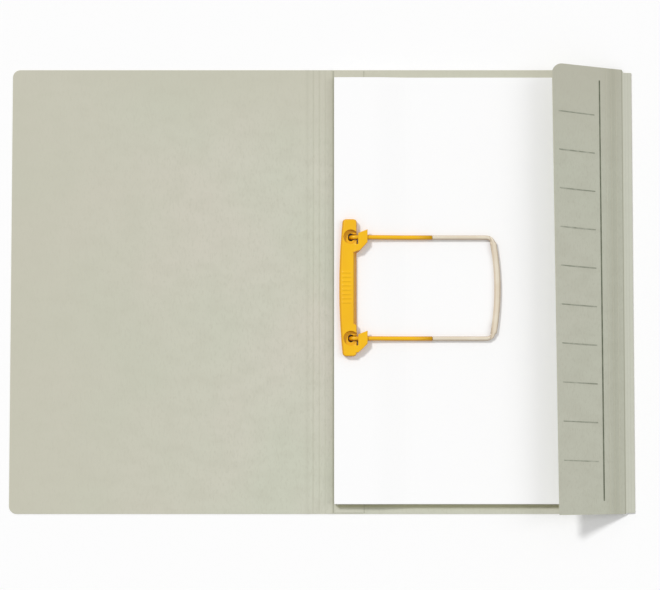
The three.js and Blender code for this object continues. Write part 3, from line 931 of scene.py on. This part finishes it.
# %% [markdown]
# ## The flap's free corners
# The flap's upper free corner is well rounded, but its lower one was trimmed square. A cut could round
# the one further but not square the other, so the corner points of a merged copy are moved instead. The
# lower arc's points go straight out from its centre until they meet the square. The upper arc is drawn
# larger from the point where its two edges would meet.

# %% Free corners
CORNER = 6 * MM
ON_ARC = 0.02
LEAST_REACH = 0.2
UPPER_GROWTH = 1.5
flap_card = baked(merged_copy("flap_card", "flap"))
free_low = min(vertex.co.x for vertex in flap_card.data.vertices if vertex.co.y < 0)
reach = CORNER * math.cos(PANEL_SLOPE)
for vertex in flap_card.data.vertices:
    across = (free_low + reach - vertex.co.x) / reach
    down = (flap_low.y + CORNER - vertex.co.y) / CORNER
    if across > ON_ARC and down > ON_ARC:
        grow = 1 / max(across, down, LEAST_REACH)
        more = min(across * grow, 1.0) - min(across, 1.0)
        vertex.co += Vector((-more * reach, -(min(down * grow, 1.0) - down) * CORNER,
                             more * CORNER * math.sin(PANEL_SLOPE)))
upper = [vertex.co for vertex in flap_card.data.vertices
         if vertex.co.x < free_low + 2 * CORNER and vertex.co.y > flap_high.y - 2 * CORNER]
lifts = [point.dot(panel_normal) for point in upper]
middle_lift = (min(lifts) + max(lifts)) / 2
for outer_face in (True, False):
    face_points = [point for point in upper if (point.dot(panel_normal) > middle_lift) == outer_face]
    corner_x = min(point.x for point in face_points)
    corner_y = max(point.y for point in face_points)
    for point in face_points:
        across = (UPPER_GROWTH - 1) * (point.x - corner_x)
        down = (UPPER_GROWTH - 1) * (point.y - corner_y)
        point += Vector((across, down, -across * math.tan(PANEL_SLOPE)))
    print("corner points", len(face_points))
finished(flap_card, "flap", flap_finish)
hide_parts("flap")

# %% [markdown]
# ## Rules on the flap
# The same tree prints both kinds of rule: ten short ones in a row, which lean a little, and one long
# upright rule. Each result is a plain mesh that rides on the flap.

# %% Rules
RULES = 10
RULE_PITCH = 30.36 * MM
RULE_LENGTH = 33 * MM
RULE_WIDTH = 0.8 * MM
RULE_ALONG = 42.7 * MM
RULE_TOP = 138.5 * MM
RULE_LEAN = 0.03
UPRIGHT_ALONG = 21.2 * MM
UPRIGHT_LENGTH = 332 * MM
UPRIGHT_WIDTH = 1.25 * MM
INK_HEIGHT = 0.02 * MM
rules = grown("short_rules", rule_tree, {
    "Count": RULES, "Pitch": RULE_PITCH, "Length": RULE_LENGTH, "Width": RULE_WIDTH,
    "Height": INK_HEIGHT, "Ink": pale_ink})
laid_on_panel(rules, RULE_ALONG, RULE_TOP, RULE_LEAN)
finished(rules, "flap")
upright_rule = grown("upright_rule", rule_tree, {
    "Count": 1, "Pitch": RULE_PITCH, "Length": UPRIGHT_WIDTH, "Width": UPRIGHT_LENGTH,
    "Height": INK_HEIGHT, "Ink": dark_ink})
laid_on_panel(upright_rule, UPRIGHT_ALONG, 0.0, 0.0)
finished(upright_rule, "flap")
print("rules", len(rules.data.polygons), len(upright_rule.data.polygons))

# %% [markdown]
# ## Edges of the sheets
# No block of paper is perfectly flush. Bump alone leaves its outline ruler straight, so a thin rim
# follows the block's outline at each level, a hair further out or in than its neighbours. The block's
# sides then break up the light as sheets do. Geometry Nodes repeat the rim up the stack.

# %% Sheet edge tree
RIM_DEPTH = 0.6 * MM
RIM_HEIGHT = 0.15 * MM
RIM_STEP = 4 * MM
leaf_tree, add = new_tree("sheet_edges", [
    ("Leaves", "NodeSocketInt", 20),
    ("Leaf", "NodeSocketFloat", 0.2 * MM),
    ("Width", "NodeSocketFloat", 200 * MM),
    ("Height", "NodeSocketFloat", 300 * MM),
    ("Spread", "NodeSocketFloat", 0.5 * MM),
    ("Paper", "NodeSocketMaterial", None),
])
leaf_in = add("NodeGroupInput")
step = add("ShaderNodeCombineXYZ", Z=leaf_in.outputs["Leaf"])
levels = add("GeometryNodeMeshLine", Count=leaf_in.outputs["Leaves"], Offset=step.outputs[0])
outline = add("GeometryNodeCurvePrimitiveQuadrilateral", Width=leaf_in.outputs["Width"],
              Height=leaf_in.outputs["Height"])
fine = add("GeometryNodeResampleCurve", {"mode": "LENGTH"}, Curve=outline.outputs[0], Length=RIM_STEP)
jog = add("FunctionNodeRandomValue", {"data_type": "FLOAT_VECTOR"}, Seed=7)
half_spread = add("ShaderNodeMath", {"operation": "MULTIPLY"})
leaf_tree.links.new(leaf_in.outputs["Spread"], half_spread.inputs[0])
half_spread.inputs[1].default_value = 0.5
minus = add("ShaderNodeMath", {"operation": "MULTIPLY"})
leaf_tree.links.new(half_spread.outputs[0], minus.inputs[0])
minus.inputs[1].default_value = -1.0
far = add("ShaderNodeCombineXYZ", X=half_spread.outputs[0], Y=half_spread.outputs[0])
near = add("ShaderNodeCombineXYZ", X=minus.outputs[0], Y=minus.outputs[0])
leaf_tree.links.new(near.outputs[0], jog.inputs["Min"])
leaf_tree.links.new(far.outputs[0], jog.inputs["Max"])
jogged = add("GeometryNodeSetPosition", Geometry=levels.outputs[0], Offset=jog.outputs[0])
rims = add("GeometryNodeInstanceOnPoints", Points=jogged.outputs[0], Instance=fine.outputs[0])
rims_real = add("GeometryNodeRealizeInstances", Geometry=rims.outputs[0])
edge = add("GeometryNodeCurvePrimitiveQuadrilateral", Width=RIM_DEPTH, Height=RIM_HEIGHT)
swept = add("GeometryNodeCurveToMesh", Curve=rims_real.outputs[0], Profile_Curve=edge.outputs[0])
papered = add("GeometryNodeSetMaterial", Geometry=swept.outputs[0], Material=leaf_in.outputs["Paper"])
leaf_out = add("NodeGroupOutput")
leaf_tree.links.new(papered.outputs[0], leaf_out.inputs[0])
print("sheet edge nodes", len(leaf_tree.nodes))

# %% [markdown]
# ## Edges over the rise
# Beside the spine the papers lie on the clip's base and the strip over it, so the block is higher there
# and sinks to the cover further out. The rims are made flat, and their points are then lifted by the
# same soft step as the block.

# %% Sheet edges
PAPER_THICKNESS = 5.5 * MM
RIM_INSET = 0.25 * MM
RIM_SPREAD = 0.35 * MM
PAPER_RISE = paper_high.z - CARD - PAPER_THICKNESS
SAG_START = CLIP_X + 17 * MM
SAG_END = CLIP_X + 48 * MM
LEAVES = 27
leaf = PAPER_THICKNESS / (LEAVES + 1)
paper_middle = (paper_low + paper_high) / 2
leaves = grown("sheet_edges", leaf_tree, {
    "Leaves": LEAVES, "Leaf": leaf, "Width": paper_high.x - paper_low.x - 2 * RIM_INSET,
    "Height": paper_high.y - paper_low.y - 2 * RIM_INSET, "Spread": RIM_SPREAD, "Paper": paper.material})
for vertex in leaves.data.vertices:
    x = vertex.co.x + paper_middle.x
    rise = PAPER_RISE * (1 - smooth_step((x - SAG_START) / (SAG_END - SAG_START)))
    vertex.co = Vector((x, vertex.co.y + paper_middle.y, vertex.co.z + CARD + leaf + rise))
finished(leaves, "back")
print("sheet edges", len(leaves.data.polygons))

# %% [markdown]
# ## Floor
# A plain white floor takes the folder's soft shadow. It reaches far past the folder, so that no edge of
# it shows from the side, and it isn't part of the object.

# %% Floor
FLOOR_HALF = 6.0
FLOOR_DROP = 0.05 * MM
floor_mesh = bpy.data.meshes.new("floor")
floor_mesh.from_pydata([(-FLOOR_HALF, -FLOOR_HALF, 0), (FLOOR_HALF, -FLOOR_HALF, 0),
                        (FLOOR_HALF, FLOOR_HALF, 0), (-FLOOR_HALF, FLOOR_HALF, 0)], [], [(0, 1, 2, 3)])
floor = bpy.data.objects.new("floor", floor_mesh)
floor.location.z = -FLOOR_DROP
scene.collection.objects.link(floor)
ground = Finish("floor_white", 0.95, Specular_IOR_Level=0.1)
ground.shader.inputs["Base Color"].default_value = (0.98, 0.98, 0.98, 1.0)
floor_mesh.materials.append(ground.material)
print("floor reaches", FLOOR_HALF)

# %% [markdown]
